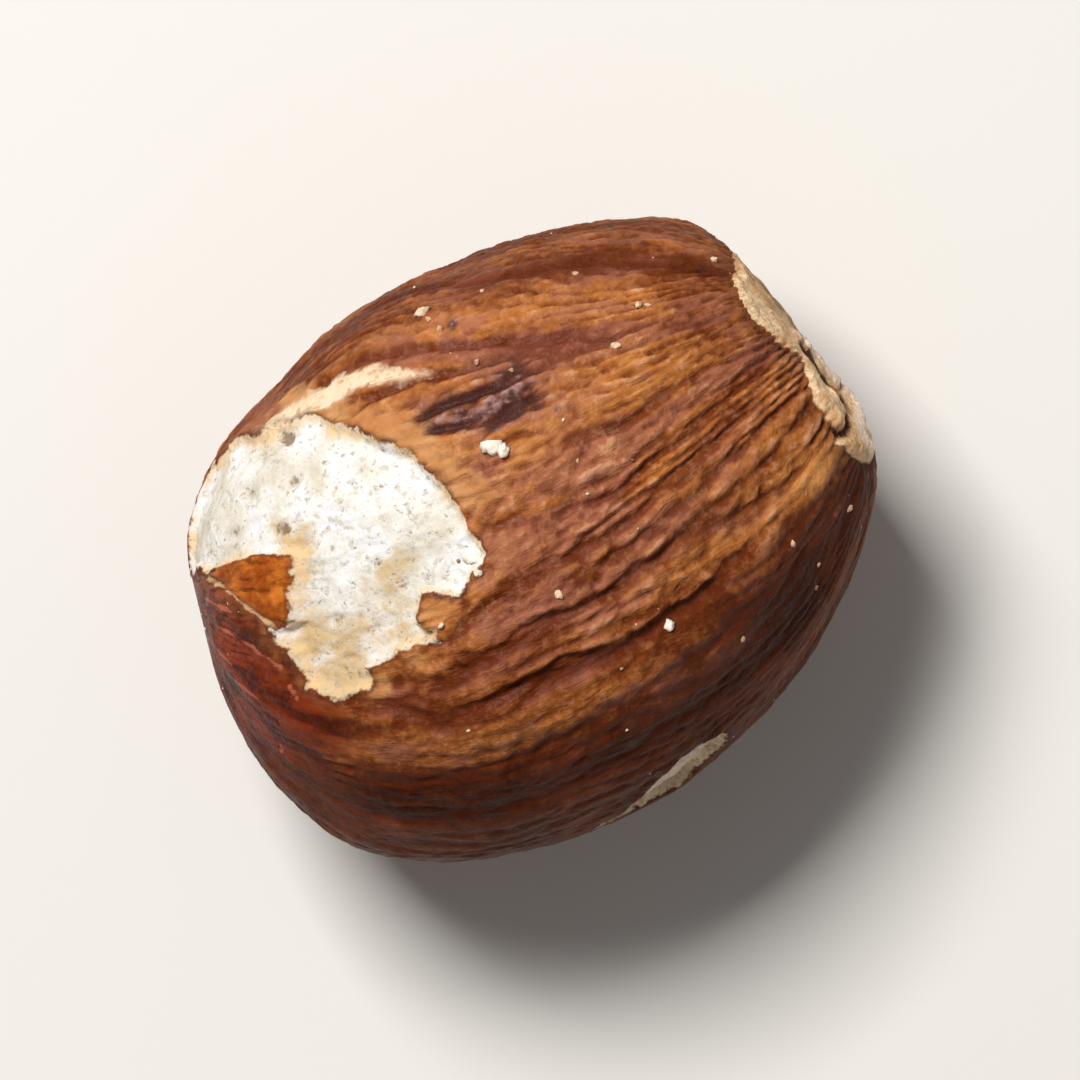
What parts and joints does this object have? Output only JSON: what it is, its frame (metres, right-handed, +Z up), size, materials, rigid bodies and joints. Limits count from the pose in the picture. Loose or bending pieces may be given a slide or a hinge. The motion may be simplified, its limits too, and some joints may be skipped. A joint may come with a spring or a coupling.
{
  "type": "hazelnut",
  "caption": "Shelled hazelnut kernel in ridged, striped red-brown skin, lying on its side, with a worn pale patch and a crusted tip.",
  "frame": {"origin": "middle of the plan box, on the surface that the kernel rests on", "axes": "+X along the long axis towards the pointed, crusted end; +Z up, with the worn patch on the upper side"},
  "size_m": [0.0146, 0.0126, 0.0117],
  "materials": {
    "skin": "thin papery seed skin, satin, golden brown with darker red-brown stripes from end to end, worn to cream kernel in one patch"
  },
  "bodies": {
    "root": {"kernel": "skin"}
  },
  "joints": []
}
